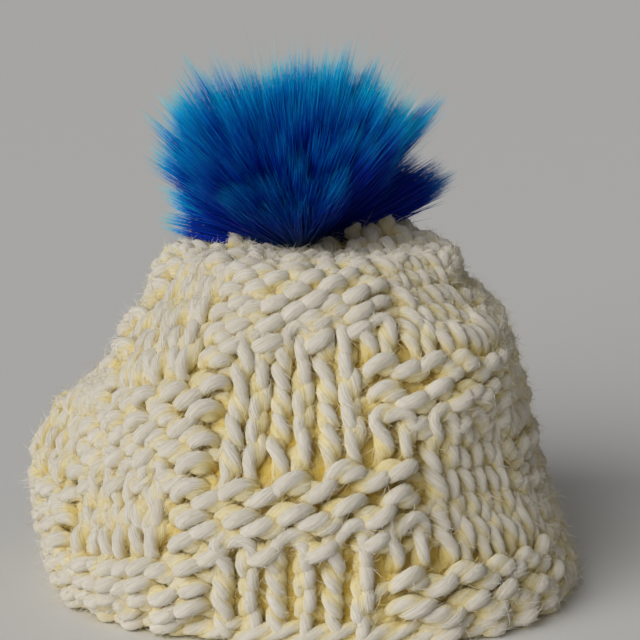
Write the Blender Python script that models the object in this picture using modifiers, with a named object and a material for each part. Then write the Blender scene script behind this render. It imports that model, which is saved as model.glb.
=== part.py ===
"""A hand-knitted tea cosy with a fur pompom, as it stands when fitted over a round teapot.

Two pieces: the knitted body, a thick shell that is open at the hem, at the spout and at the handle,
and the pompom that is tied into the dimple of its gathered crown. The front faces -Y, the spout leaves
at -X and the handle at +X. Tables and named sizes are in millimetres and degrees, and a turn is an angle
round the cosy from its front, by way of the handle.
"""

import math
from collections import namedtuple

import bmesh
import bpy
import numpy as np
from mathutils import Vector

MM = 0.001
UP = Vector((0.0, 0.0, 1.0))

# The knitted cloth.
CLOTH_THICKNESS = 11.0
COLUMNS = 56
CLOTH_RINGS = 29
OVAL_POWER = 2.1
HEM_OVERCUT = 5.0

# The basketweave: blocks of purl stand proud of the knitted ribs, four round the body, in bands.
ROWS_TO_RIM = 16.0
BAND_ROWS = 4.0
FIRST_PURL_ROW = 5.5
REPEATS_ROUND = 4
RELIEF = 2.5
RELIEF_FADE_ROWS = 2.0

# Slow unevenness of cloth that was pulled over the pot by hand.
SAG = 1.0

# The gathered crown.
RIM_HEIGHT = 128.5
SEAT_HEIGHT = 124.0
SEAT_RADIUS = 11.0
GATHERS = 8
GATHER_DEPTH = 0.7
GATHER_RADIUS = 30.0
GATHER_SPREAD = 7.0
SEAT_EASE = 8.0
CROWN_START = 96.0
CROWN_EASE = 24.0

# The spout's opening is a slanting oval, and the handle's a tall slit.
SPOUT_HOLE = {"x": -82.0, "z": 84.0, "tilt": 42.0, "half_height": 18.5, "half_width": 12.5}
HANDLE_SLIT = {"x": 92.0, "z": 63.0, "half_height": 35.0, "half_width": 7.5}
CUT_DEPTH = 60.0
CUTTER_SIDES = 28
FLOOR_SLAB_SIZE = 400.0
FLOOR_SLAB_DEPTH = 40.0

# The pompom.
POMPOM_GAP = 0.3
POMPOM_ROOT_X = -1.0
POMPOM_ROOT_RADIUS = 9.0
POMPOM_REACH = 70.0
LOW_FUR_SHORTER = 0.38
LOW_FUR_LIFT = 10.0
LOW_FUR_SPREAD = 22.0
POMPOM_SEGMENTS = 36
POMPOM_RINGS = 20
UNDERSIDE_SHARE = 0.3
ROOT_SHARE = 0.25
SKIRT_LIFT = 17.0
PUCKER_CLEARANCE = 1.7
PUCKER_CLEARANCE_SPREAD = 22.0

# The outline of the cloth at each height, from the hem to the flat seat in the middle of the crown:
# how far its outer face lies from the middle to the left, right, front and back.
Section = namedtuple("Section", "height left right front back")
SECTIONS = (
    Section(0, 95.5, 101.5, 89, 87),
    Section(9, 100.5, 102, 90.5, 89),
    Section(24, 103, 95.5, 91, 89),
    Section(36, 99.5, 89.5, 89.5, 88),
    Section(47, 96, 85.5, 88, 86.5),
    Section(57, 90, 82, 85.5, 84.5),
    Section(70, 85, 80, 81, 80.5),
    Section(82, 75, 79, 76, 76),
    Section(92, 74, 77, 71, 71.5),
    Section(103, 67, 72, 64.5, 65),
    Section(113, 58, 62.5, 57.5, 58),
    Section(121, 53, 58, 50.5, 50),
    Section(126.5, 46, 52, 43.5, 42.5),
    Section(RIM_HEIGHT, 38, 42, 36, 35.5),
    Section(127.5, 28, 30, 27, 26.5),
    Section(125, 18.5, 19, 18, 18),
    Section(SEAT_HEIGHT, SEAT_RADIUS, SEAT_RADIUS, SEAT_RADIUS, SEAT_RADIUS),
)

# How far the spout's root pushes the cloth out at the left, by height.
Bulge = namedtuple("Bulge", "height push")
SPOUT_BULGE = (
    Bulge(0, 1.0),
    Bulge(24, 4.0),
    Bulge(36, 7.5),
    Bulge(47, 12.5),
    Bulge(57, 13.0),
    Bulge(70, 11.0),
    Bulge(80, 4.0),
    Bulge(92, 0.0),
)
SPOUT_BULGE_SPREAD = 16.0

# Folds that stand up from the gathered crown, and hollows where it sinks.
Pucker = namedtuple("Pucker", "turn radius rise spread")
PUCKERS = (
    Pucker(128, 37, 9.5, 10.5),
    Pucker(102, 46, -2.5, 16.0),
    Pucker(165, 44, -2.0, 16.0),
    Pucker(258, 36, 2.0, 13.0),
    Pucker(12, 38, 1.0, 14.0),
)

# The fur's lobes: where each lies round the pompom and above the horizontal, and how far it reaches.
Lobe = namedtuple("Lobe", "turn lift reach spread")
LOBES = (
    Lobe(270, 50, 9, 15),
    Lobe(90, 66, 4, 14),
    Lobe(90, 49, 3, 9),
    Lobe(96, 23, 17, 11),
    Lobe(0, 30, -3, 26),
    Lobe(180, 30, -2, 28),
    Lobe(20, 62, 3, 18),
    Lobe(175, 64, 3, 18),
)


def smooth_rows(rows, count):
    """Rows of a table read at count even steps along it, on a Catmull-Rom curve through every row."""
    table = np.array(rows, dtype=float)
    padded = np.vstack([2 * table[0] - table[1], table, 2 * table[-1] - table[-2]])
    place = np.linspace(0, len(table) - 1, count)
    start = np.minimum(place.astype(int), len(table) - 2)
    t = (place - start)[:, None]
    before, here, after, beyond = (padded[start + step] for step in range(4))
    return 0.5 * (
        2 * here
        + (after - before) * t
        + (2 * before - 5 * here + 4 * after - beyond) * t**2
        + (3 * here - before - 3 * after + beyond) * t**3
    )


def turn_between(first, second):
    """The smaller angle between two turns, in degrees."""
    return (first - second + 180.0) % 360.0 - 180.0


def share(value):
    """The value held between 0 and 1."""
    return min(1.0, max(0.0, value))


def hill(distance, spread):
    """A smooth bump that is 1 at no distance and fades over the spread."""
    return math.exp(-0.5 * (distance / spread) ** 2)


def oval_point(section, turn):
    """The point of a section's outline at a turn from the front."""
    angle = math.radians(turn)
    sideways, forwards = math.sin(angle), math.cos(angle)
    across = section.right if sideways > 0 else section.left
    along = section.front if forwards > 0 else section.back
    x = across * math.copysign(abs(sideways) ** (2 / OVAL_POWER), sideways)
    y = -along * math.copysign(abs(forwards) ** (2 / OVAL_POWER), forwards)
    return x, y


def basket_relief(turn, row):
    """How far the basketweave stands proud: purl blocks and ribs alternate round the body and upwards."""
    round_wave = math.cos(math.radians(REPEATS_ROUND * turn))
    upward_wave = math.cos(math.pi * (row - FIRST_PURL_ROW) / BAND_ROWS)
    return RELIEF * round_wave * upward_wave


def slow_sag(turn, row):
    """Gentle hand-made unevenness of the body."""
    angle = math.radians(turn)
    return SAG * (math.sin(3 * angle + 0.5 * row) + 0.6 * math.sin(5 * angle - 0.3 * row + 1.0))


def spout_push(height, y):
    """How far the spout's root pushes the cloth to the left at this height and depth."""
    heights = [bulge.height for bulge in SPOUT_BULGE]
    pushes = [bulge.push for bulge in SPOUT_BULGE]
    return float(np.interp(height, heights, pushes)) * hill(y, SPOUT_BULGE_SPREAD)


def crown_rise(turn, radius):
    """How far the gathers and the puckers lift the cloth of the crown."""
    toothed = GATHER_DEPTH * math.cos(math.radians(GATHERS * turn))
    rise = toothed * hill(radius - GATHER_RADIUS, GATHER_SPREAD)
    for pucker in PUCKERS:
        sideways = math.radians(turn_between(turn, pucker.turn)) * radius
        outwards = radius - pucker.radius
        rise += pucker.rise * hill(math.hypot(sideways, outwards), pucker.spread)
    return rise


def cloth_ring(section, row):
    """One ring of the cloth's outer face, with its relief, bulge and puckers."""
    body = share((ROWS_TO_RIM - row) / RELIEF_FADE_ROWS)
    crown = share((section.height - CROWN_START) / CROWN_EASE)
    ring = []
    for column in range(COLUMNS):
        turn = 360.0 * column / COLUMNS
        x, y = oval_point(section, turn)
        radius = math.hypot(x, y)
        proud = body * (basket_relief(turn, row) + slow_sag(turn, row))
        stretch = 1.0 + proud / radius
        x, y = x * stretch, y * stretch
        if x < 0:
            x -= spout_push(section.height, y)
        seat = share((radius - SEAT_RADIUS) / SEAT_EASE)
        height = section.height + crown_rise(turn, radius) * crown * seat
        ring.append((x * MM, y * MM, height * MM))
    return ring


def new_object(name, mesh, collection):
    """An object for this mesh, in this collection."""
    made = bpy.data.objects.new(name, mesh)
    collection.objects.link(made)
    return made


def lofted_mesh(name, rings):
    """An open surface of quads through rings of equal length, with one flat face across the last."""
    bm = bmesh.new()
    loops = [[bm.verts.new(point) for point in ring] for ring in rings]
    for lower, upper in zip(loops, loops[1:]):
        for here in range(len(lower)):
            after = (here + 1) % len(lower)
            bm.faces.new((lower[here], lower[after], upper[after], upper[here]))
    bm.faces.new(loops[-1])
    mesh = bpy.data.meshes.new(name)
    bm.to_mesh(mesh)
    bm.free()
    mesh.shade_smooth()
    return mesh


def cloth_rings():
    """The cloth's rings from just below the hem, which is cut flat later, up to the seat of the pompom."""
    sections = [Section(*values) for values in smooth_rows(SECTIONS, CLOTH_RINGS)]
    rim_ring = max(range(CLOTH_RINGS), key=lambda ring: sections[ring].height)
    rings = [cloth_ring(section, ROWS_TO_RIM * ring / rim_ring) for ring, section in enumerate(sections)]
    below = [(x, y, z - HEM_OVERCUT * MM) for x, y, z in rings[0]]
    return [below] + rings


def cut(part, cutter):
    """Cuts a hole in the part, and keeps the cutter as a hidden guide."""
    cutter.hide_render = True
    cutter.display_type = "WIRE"
    hole = part.modifiers.new(f"cut {cutter.name}", "BOOLEAN")
    hole.operation = "DIFFERENCE"
    hole.solver = "EXACT"
    hole.object = cutter


def floor_cutter(collection):
    """A slab whose top is the plane on which the hem stands."""
    bm = bmesh.new()
    bmesh.ops.create_cube(bm, size=1.0)
    size = (FLOOR_SLAB_SIZE * MM, FLOOR_SLAB_SIZE * MM, FLOOR_SLAB_DEPTH * MM)
    bmesh.ops.scale(bm, vec=size, verts=bm.verts)
    bmesh.ops.translate(bm, vec=(0.0, 0.0, -FLOOR_SLAB_DEPTH * MM / 2), verts=bm.verts)
    mesh = bpy.data.meshes.new("hem_plane")
    bm.to_mesh(mesh)
    bm.free()
    return new_object("hem_plane", mesh, collection)


def oval_cutter(name, hole, tilt, collection):
    """An oval plug that lies along X, turned up by the tilt at its outer end."""
    bm = bmesh.new()
    bmesh.ops.create_cone(
        bm, cap_ends=True, segments=CUTTER_SIDES, radius1=1.0, radius2=1.0, depth=CUT_DEPTH * MM
    )
    size = (hole["half_height"] * MM, hole["half_width"] * MM, 1.0)
    bmesh.ops.scale(bm, vec=size, verts=bm.verts)
    mesh = bpy.data.meshes.new(name)
    bm.to_mesh(mesh)
    bm.free()
    plug = new_object(name, mesh, collection)
    plug.rotation_euler = (0.0, math.radians(90.0 + tilt), 0.0)
    plug.location = (hole["x"] * MM, 0.0, hole["z"] * MM)
    return plug


def make_knit_body(collection, cutters):
    """The knitted body: a lofted surface thickened inwards, cut flat at the hem, with its two openings."""
    body = new_object("knit_body", lofted_mesh("knit_body", cloth_rings()), collection)
    thicken = body.modifiers.new("cloth thickness", "SOLIDIFY")
    thicken.thickness = CLOTH_THICKNESS * MM
    thicken.offset = -1.0
    thicken.use_even_offset = False
    cut(body, floor_cutter(cutters))
    cut(body, oval_cutter("spout_hole", SPOUT_HOLE, SPOUT_HOLE["tilt"], cutters))
    cut(body, oval_cutter("handle_slit", HANDLE_SLIT, 0.0, cutters))
    return body


def fur_reach(turn, lift):
    """How far the dense fur reaches from its root in this direction."""
    reach = POMPOM_REACH * (1.0 - LOW_FUR_SHORTER * hill(lift - LOW_FUR_LIFT, LOW_FUR_SPREAD))
    for lobe in LOBES:
        sideways = turn_between(turn, lobe.turn) * math.cos(math.radians(lift))
        reach += lobe.reach * hill(math.hypot(sideways, lift - lobe.lift), lobe.spread)
    return reach


def lowest_lift(turn):
    """How steeply the underside of the fur rises from the root, which clears the crown's puckers."""
    lift = SKIRT_LIFT
    for pucker in PUCKERS:
        aside = turn_between(turn, pucker.turn)
        lift += PUCKER_CLEARANCE * max(0.0, pucker.rise) * hill(aside, PUCKER_CLEARANCE_SPREAD)
    return lift


def pompom_point(direction):
    """Where a point of a unit sphere goes: the dome of fur above, and its underside and flat root below."""
    turn = math.degrees(math.atan2(direction.x, -direction.y)) % 360.0
    down = direction.angle(UP) / math.pi
    skirt = lowest_lift(turn)
    edge = 1.0 - UNDERSIDE_SHARE
    if down <= edge:
        lift = 90.0 - (90.0 - skirt) * down / edge
        length = fur_reach(turn, lift)
        radius = length * math.cos(math.radians(lift))
        height = length * math.sin(math.radians(lift))
    else:
        inwards = (1.0 - down) / UNDERSIDE_SHARE
        length = fur_reach(turn, skirt) * math.cos(math.radians(skirt)) * inwards
        radius = max(length, share(inwards / ROOT_SHARE) * POMPOM_ROOT_RADIUS)
        height = max(0.0, radius - POMPOM_ROOT_RADIUS) * math.tan(math.radians(skirt))
    angle = math.radians(turn)
    return radius * math.sin(angle), -radius * math.cos(angle), height


def make_pompom(collection):
    """The pompom: a lobed mass of fur that fans out from its root in the dimple of the crown."""
    bm = bmesh.new()
    bmesh.ops.create_uvsphere(
        bm, u_segments=POMPOM_SEGMENTS, v_segments=POMPOM_RINGS, radius=1.0
    )
    for vertex in bm.verts:
        x, y, z = pompom_point(vertex.co.normalized())
        vertex.co = (x * MM, y * MM, z * MM)
    mesh = bpy.data.meshes.new("pompom")
    bm.to_mesh(mesh)
    bm.free()
    mesh.shade_smooth()
    pompom = new_object("pompom", mesh, collection)
    pompom.location = (POMPOM_ROOT_X * MM, 0.0, (SEAT_HEIGHT + POMPOM_GAP) * MM)
    return pompom


def give_material(part, name, colour, roughness):
    """A plain Principled material of this colour and roughness."""
    material = bpy.data.materials.new(name)
    material.use_nodes = True
    shader = material.node_tree.nodes["Principled BSDF"]
    shader.inputs["Base Color"].default_value = (*colour, 1.0)
    shader.inputs["Roughness"].default_value = roughness
    shader.inputs["Metallic"].default_value = 0.0
    part.data.materials.append(material)


def centre_over_origin(anchor, parts, guides):
    """Hangs the parts and their guides on the anchor, which puts the box's bottom centre on the origin."""
    depsgraph = bpy.context.evaluated_depsgraph_get()
    corners = []
    for part in parts:
        solid = part.evaluated_get(depsgraph)
        corners += [part.matrix_world @ vertex.co for vertex in solid.data.vertices]
    corners = np.array(corners)
    middle = (corners.min(axis=0) + corners.max(axis=0)) / 2
    for piece in parts + guides:
        piece.parent = anchor
    anchor.location = (-middle[0], -middle[1], 0.0)


def clear_scene():
    """Removes whatever objects the scene starts with."""
    for old in list(bpy.data.objects):
        bpy.data.objects.remove(old, do_unlink=True)


def new_collection(name):
    """A new collection in the scene."""
    made = bpy.data.collections.new(name)
    bpy.context.scene.collection.children.link(made)
    return made


def main():
    clear_scene()
    cosy = new_collection("tea_cosy")
    cutters = new_collection("cutters")
    anchor = new_object("tea_cosy_base", None, cosy)
    body = make_knit_body(cosy, cutters)
    pompom = make_pompom(cosy)
    give_material(body, "cream wool", (0.78, 0.72, 0.58), 0.9)
    give_material(pompom, "blue fur", (0.0, 0.03, 0.28), 0.75)
    bpy.context.view_layer.update()
    centre_over_origin(anchor, [body, pompom], list(cutters.objects))


main()
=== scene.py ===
"""A chunky hand-knitted tea cosy with a fur pompom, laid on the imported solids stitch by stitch.

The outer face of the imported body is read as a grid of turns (degrees round the cosy from its front, by way
of the handle) and rows (counted up from the hem). Every row of knitting is a strand of two-ply yarn whose
loops follow a basketweave chart on that grid. Sizes are in millimetres until a mesh is made.
"""

import math
from collections import namedtuple

import bpy
import numpy as np
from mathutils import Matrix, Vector
from mathutils.bvhtree import BVHTree


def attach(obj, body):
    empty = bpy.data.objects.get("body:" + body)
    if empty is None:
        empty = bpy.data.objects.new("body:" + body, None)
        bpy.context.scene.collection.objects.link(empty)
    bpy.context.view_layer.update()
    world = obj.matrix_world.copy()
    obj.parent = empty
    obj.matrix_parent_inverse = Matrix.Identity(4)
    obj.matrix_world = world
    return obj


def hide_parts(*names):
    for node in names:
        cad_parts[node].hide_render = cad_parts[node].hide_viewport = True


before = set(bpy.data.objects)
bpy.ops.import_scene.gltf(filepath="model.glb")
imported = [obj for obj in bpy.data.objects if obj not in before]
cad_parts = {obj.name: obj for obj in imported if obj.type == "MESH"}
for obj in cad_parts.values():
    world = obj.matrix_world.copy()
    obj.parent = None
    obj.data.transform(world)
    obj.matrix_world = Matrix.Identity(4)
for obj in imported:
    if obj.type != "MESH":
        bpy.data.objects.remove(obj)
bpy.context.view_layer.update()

MM = 0.001
KNIT_SEED, GROUND_SEED, FUR_SEED = 7, 11, 23

# --- sizes: the fitted face of the cloth ---
RAY_CENTRE_HEIGHT = 45.0
RAY_START = 300.0
LEAST_REACH = 30.0
TURN_STEPS = 240
LIFTS = np.radians(np.linspace(-42.0, 86.0, 257))
LOWEST_HOLE_LIFT = math.radians(-15.0)
HOLE_MARGIN = 3
PROFILE_START = 0.4
PROFILE_STEPS = 260
TURNS = np.arange(TURN_STEPS) * 360.0 / TURN_STEPS
ROW_STEP = 0.1
LOWEST_ROW = -1.0
FIRST_HEIGHT = 4.0
RIM_ROW = 15.0
SEAT_ROW = 19.6
ROWS = np.arange(LOWEST_ROW, SEAT_ROW + ROW_STEP / 2, ROW_STEP)
UPRIGHT_ROW = 0.5
SMOOTHING_TURNS = 1.6
SMOOTHING_PROFILE = 3.0
SMOOTHING_ROWS = 4.0
SMOOTHING_BLOCKS = 4.0

# --- sizes: the openings, as turns round the cosy and in degrees to each side ---
SPOUT_TURN, HANDLE_TURN = 270.0, 90.0
WIDEST_OPENING = 25.0
OPENING_STEP = 0.25
OPENING_LEVELS = (0.3, 0.7)
OPENING_SQUEEZE = 32.0
OPENING_MARGIN = 1.5

# --- sizes: the knitting ---
ROW_HEIGHT = 8.5
HALF_STITCHES = 17
UPPER_HALF_STITCHES = 15
UPPER_ROW = 12
CROWN_HALF_STITCHES = 8
CROWN_ROW = 16
LAST_ROW = 18
BAND_ROWS = 4
REPEAT = 8
LEFT_BLOCK_ROWS = (4, 7, 11)

YARN_RADIUS = 3.85
YARN_SWELL = 0.19
KNIT_THIN = 0.12
PLY_OFFSET = 0.36
PLY_PITCH = 28.0
# Weights of the wool's painted shade: the ply creases, how deep the yarn lies, and which side of it faces
# out.
CREASE_SHADE = 4.0
DEPTH_SHADE = 0.85
LIFT_SHADE = 1.25
YARN_ROUGHNESS = 0.02
SECTION_POINTS = 12
POINTS_PER_STITCH = 24
LOOP_SWING = 0.16
KNIT_HEIGHT = 0.95
PURL_HEIGHT = 0.76
PURL_FLATNESS = 0.45
PURL_LEFT_LEG = -1.1
LOOP_LEAN = 0.05
JOIN_DROP = 0.35
JOIN_RISE = 0.18
JOIN_TOP = -0.35
LOOP_DEPTH = 3.3
YARN_SINK = 4.0
BLOCK_RELIEF = 1.4
# How much the blocks' relief moves the wool's painted shade.
RELIEF_SHADE = 0.25
END_TUCK = 0.03
LOWEST_STITCH = YARN_RADIUS * 0.95
FIBRE_STRETCH = 16.0

# How uneven the stitches are: the spread of each measure from one stitch to the next.
UNEVEN = {
    "swing": 0.012, "loop": 0.06, "place": 0.02, "height": 0.05, "level": 0.03, "depth": 0.3, "radius": 0.04,
}

# --- sizes: the cloth behind the stitches ---
GROUND_SINK = 4.1
GROUND_WAVE = 0.8
# How much the ground's wave moves its painted ochre shade.
GROUND_WAVE_SHADE = 3
GROUND_TURNS = 136
GROUND_FIRST_ROW = 0.2
GROUND_ROW_STEP = 0.33
GROUND_THICKNESS = 2.0
GROUND_LOWEST = 0.5
GROUND_OPEN_SHARE = 0.3

# The pieces that the rows are made up in, BAND_ROWS rows to each.
BANDS = ("band_hem", "band_low", "band_high", "band_rim", "crown")

# --- sizes: the cast-on edge and the edges of the openings ---
CAST_ON_HEIGHT = 5.4
CAST_ON_DEPTH = -3.0
CAST_ON_SWING = (2.1, 1.7)
CAST_ON_POINTS = 12
CAST_ON_RADIUS = YARN_RADIUS * 0.95
RIM_DEPTH = -2.6
RIM_SWING = 1.1
RIM_STEP = 2.0
RIM_RADIUS = YARN_RADIUS * 0.85
RIM_ENDS = (-0.1, 1.1)
RIM_END_SHARE = 0.6
RIM_SMOOTHING = 1.5

# --- sizes: the fuzz on the yarn: long loose fibres, and the short nap ---
Fibres = namedtuple("Fibres", "per_mm points length lift width")
FUZZ = Fibres(3.4, 3, (2.5, 8.0), (0.8, 3.4), 0.13)
NAP = Fibres(9.0, 2, (1.2, 3.2), (0.3, 1.2), 0.2)
FIBRE_WANDER = 1.2
# FIBRE_SHADE: how far a fibre's painted shade strays at random from its root's.
FIBRE_SHADE = 1.6
FIBRE_ROOT = 0.3
FIBRE_TAPER = 0.6
FIBRE_INWARD = -0.3
FIBRE_LOWEST = 0.3
GROUND_FIBRES = 5200
GROUND_FIBRE_ROWS = (0.5, 15.0)
GROUND_FIBRE_WIDTH = 0.22
GROUND_FIBRE_MARGIN = 6.0
GROUND_FIBRE_OPEN_SHARE = 0.1

# --- sizes: the fur ---
CLUMPS = 420
HAIRS_PER_CLUMP = 90
CLUMP_SPREAD = 7.0
CLUMP_CURL = 5.0
CLUMP_REACH = (1.02, 0.05)
CLUMP_REACH_LIMITS = (0.9, 1.1)
CLUMP_TONES = (0.0, 0.35)
# Painted backlight: the tone added to clumps at the outline, as if lit from behind.
PAINTED_BACKLIGHT_TONE = 0.8
# Painted shade: clumps that point further right than this and to the back, the tuft behind at the right,
# keep this share of their tone.
FAR_RIGHT = 0.45
BEHIND_RIGHT_PAINTED_SHADE = 0.25
HAIR_POINTS = 4
HAIR_BEND = 2.0
HAIR_START = 1.5
HAIR_LONGEST = 1.03
HAIR_SHORTER_ASIDE = 0.12
HAIR_SHORTER_BY_CHANCE = 0.12
HAIR_GATHER = (1.4, 0.7)
HAIR_TAPER = 0.9
TONE_SHARE = 0.9
LIGHT_HAIR_TONE = 0.4
FOOT_DEPTH = 0.05
ROOT_LIFT = 0.3
ROOT_SHIFT = (-4.0, -1.0, -1.0)
LOWEST_LIFT = 13.0
WAY_WANDER = 0.035
LEAST_FUR_REACH = 30.0
FUR_WIDTH = 0.42
FUR_TOP = 212.5
HEART_TURN_STEP = 7.5
HEART_RINGS = 16
HEART_MARGIN = 4.0
HEART_TOP_LIFT = 88.0
HEART_REACH = 0.5
HEART_SHARE = 0.3
HEART_TONE = 0.2

# Hairs that stand alone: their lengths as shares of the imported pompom's reach, and how light they are.
LooseFur = namedtuple("LooseFur", "name count low high width wander tones")
LOOSE_FUR = (
    LooseFur("underfur", 9000, 0.6, 0.92, FUR_WIDTH, 3.0, (0.0, 0.3)),
    LooseFur("fur_tips", 4600, 0.92, 1.12, 0.22, 4.0, (0.55, 1.0)),
    LooseFur("fur_wisps", 900, 1.0, 1.28, 0.15, 5.0, (0.6, 1.0)),
)

# Painted backlight: hair towards the outline, pointing sideways or up, is lighter as if lit from behind: the
# tone there, and how fast it falls towards the front and the back.
CLUMP_PAINTED_BACKLIGHT = (1.1, 2.4)
LOOSE_PAINTED_BACKLIGHT = (1.3, 2.1)
LOOSE_LEAST_TONE = 0.1

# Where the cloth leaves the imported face, up or inwards: the row, the rows to each side, and how far in
# millimetres at turns round the cosy.
ClothShift = namedtuple("ClothShift", "row spread amounts")
CROWN_DENT = (
    (0, -5), (60, -4.5), (90, -4), (100, -6), (110, -11), (124, -12), (132, -6), (139, 1), (150, 4),
    (165, 3), (180, -3), (200, -6), (230, -8), (243, -4), (252, -2), (265, -4), (290, -5), (320, -5),
)
CROWN_RIDGE = (90, 0), (106, 6), (124, 13), (140, 9), (156, 0)
WAIST = (45, 0), (72, 5), (90, 8), (108, 6.5), (135, 0), (225, 0), (255, 4), (285, 4), (310, 0)
HEM_HOLLOW = (60, 0), (78, 4), (102, 4.5), (120, 0)
CLOTH_LIFTS = ClothShift(17.0, 1.5, CROWN_DENT), ClothShift(17.8, 1.3, CROWN_RIDGE)
CLOTH_PULLS = ClothShift(13.7, 1.6, WAIST), ClothShift(5.0, 1.8, HEM_HOLLOW)

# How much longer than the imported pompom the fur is: at degrees from straight up to the right, its share.
FUR_STRETCHES = (
    (-80, 1.2), (-60, 1.2), (-45, 1.17), (-32, 1.1), (-15, 1.0),
    (34, 1.0), (41, 0.85), (46, 0.72), (56, 0.76), (70, 1.0),
)

# The lowest hair: at turns round the cosy, its degrees above level.
FUR_EDGES = (
    (0, 24), (40, 44), (75, 50), (105, 44), (130, 30),
    (160, 18), (225, 14), (270, 18), (310, 28), (335, 24),
)

# Colours of the wool, from the bottom of its depth range in millimetres to the top: the wool's own pale
# colour on the crests, with painted warm shade, yellower on the sides and ochre down in the gaps, standing
# in for light glowing through and bouncing between the yarns.
DEPTH_RANGE = (-8.6, 3.4)
WOOL_AND_SHADE_COLOURS = (
    (0.3, (0.88, 0.67, 0.13)),
    (0.5, (0.92, 0.77, 0.3)),
    (0.7, (0.92, 0.83, 0.53)),
    (0.88, (0.84, 0.8, 0.73)),
)
WOOL_STREAKS = ((0.34, (0.83, 0.78, 0.65)), (0.6, (1.05, 1.05, 1.05)))

# Colours of the darkest and the lightest hair, from the root to the tip. The bright cyan towards the tips is
# partly painted backlight: the glow of tips lit from behind at the outline.
FUR_DARK = (
    (0.1, (0.0, 0.006, 0.05)),
    (0.45, (0.0, 0.006, 0.25)),
    (0.8, (0.0, 0.012, 0.44)),
    (0.92, (0.0, 0.05, 0.54)),
    (1.0, (0.0, 0.34, 0.85)),
)
FUR_LIGHT = (
    (0.1, (0.0, 0.01, 0.09)),
    (0.5, (0.0, 0.014, 0.36)),
    (0.74, (0.0, 0.05, 0.54)),
    (0.83, (0.0, 0.45, 0.97)),
    (0.93, (0.0, 0.9, 1.0)),
)

# Long locks: degrees from straight up to the right and towards the back, length, spread, tone and hairs. The
# tone holds painted light: locks at the outline are lighter as if lit from behind, and those of the tuft
# behind at the right darker as painted shade.
FUR_LOCKS = (
    (-69, 8, 60, 8, 0.9, 260),
    (-55, 5, 76, 8, 0.9, 260),
    (-46, 8, 83, 9, 0.9, 300),
    (-34, 12, 75, 10, 0.6, 320),
    (-22, 5, 77, 9, 0.5, 320),
    (-9, 10, 76, 9, 0.8, 320),
    (-1, 5, 78, 7, 0.5, 260),
    (5, 10, 76, 7, 0.7, 260),
    (10, 5, 81, 7, 0.5, 260),
    (19, 8, 79, 9, 0.6, 320),
    (31, 8, 71, 8, 0.5, 260),
    (38, 10, 80, 7, 0.5, 220),
    (41, 2, 74, 5, 0.7, 200),
    (-79, 2, 60, 8, 0.9, 220),
    (72, 42, 66, 6, 0.25, 400),
    (69, 33, 71, 8, 0.25, 500),
    (65, 43, 75, 9, 0.15, 500),
    (57, 34, 68, 9, 0.15, 450),
    (49, 44, 67, 10, 0.15, 400),
)

# At turns round the cosy, the rows where the basketweave's blocks change, their heights and the rim's.
BLOCK_COLUMNS = (
    (0, (4, 7, 12), (37.5, 64.5, 103, 125)),
    (20, (4, 7, 12), (39.5, 71, 108, 125)),
    (34, (3, 8, 11), (33.5, 77, 103.5, 125)),
    (50, (3, 8, 11), (30.5, 75, 102.5, 125)),
    (66, (3, 8, 11), (28, 72.5, 97, 124)),
    (90, (4, 7, 12), (36, 65, 102, 124)),
    (132, (3, 8, 11), (28, 68, 96, 124)),
    (180, (4, 7, 12), (38, 67, 104, 124)),
    (228, (3, 8, 11), (27, 65, 93, 124)),
    (252, (4, 7, 11), (23, 45, 76, 122)),
    (270, (4, 7, 11), (21.5, 42, 72, 121)),
    (288, (4, 7, 11), (22, 43.5, 75, 121)),
    (308, (4, 7, 11), (24.5, 49.5, 83, 122.5)),
    (326, (4, 7, 11), (30, 57, 91.5, 123.5)),
    (340, (4, 7, 11), (35, 60.5, 97, 124)),
)

# Where the stitches of the front half lie: the share of the half from its middle, and the turn.
FRONT_PLACES = (
    (-1, -90), (-0.59, -49), (-0.35, -32), (-0.12, -9.5), (0, 3.5),
    (0.12, 16.5), (0.35, 42.5), (0.59, 61), (1, 90),
)


# --- the fitted face of the cloth ---
def smooth_along(grid, spread, axis, wrap):
    """The grid blurred along one axis by a Gaussian of this spread, in grid steps."""
    reach = int(math.ceil(3 * spread))
    weights = np.exp(-0.5 * (np.arange(-reach, reach + 1) / spread) ** 2)
    weights /= weights.sum()
    grid = np.moveaxis(grid, axis, 0)
    if wrap:
        before, after = grid[-reach:], grid[:reach]
    else:
        before = 2 * grid[:1] - grid[reach:0:-1]
        after = 2 * grid[-1:] - grid[-2 : -reach - 2 : -1]
    padded = np.concatenate([before, grid, after])
    blurred = sum(weight * padded[i : i + len(grid)] for i, weight in enumerate(weights))
    return np.moveaxis(blurred, 0, axis)


def unit(vectors):
    """Vectors scaled to a length of 1."""
    return vectors / np.linalg.norm(vectors, axis=-1, keepdims=True)


def lengths_between(points):
    """The length from each point to the next."""
    return np.linalg.norm(np.diff(points, axis=0), axis=1)


def along_table(table, places, period=None):
    """A table of (place, value) pairs, read at these places."""
    known, values = zip(*table)
    return np.interp(places, known, values, period=period)


def node_tree(name):
    """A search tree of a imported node's faces."""
    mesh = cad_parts[name].data
    mesh.calc_loop_triangles()
    points = [vertex.co[:] for vertex in mesh.vertices]
    triangles = [tuple(face.vertices) for face in mesh.loop_triangles]
    return BVHTree.FromPolygons(points, triangles)


def round_axis(turn, radius, height):
    """Points at these turns, in radians, at these radii and heights."""
    return np.stack([radius * np.sin(turn), -radius * np.cos(turn), height], axis=-1)


def way_at(turn, lift):
    """The direction at this turn and lift above level, in radians."""
    return Vector(round_axis(turn, math.cos(lift), math.sin(lift)))


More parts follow.
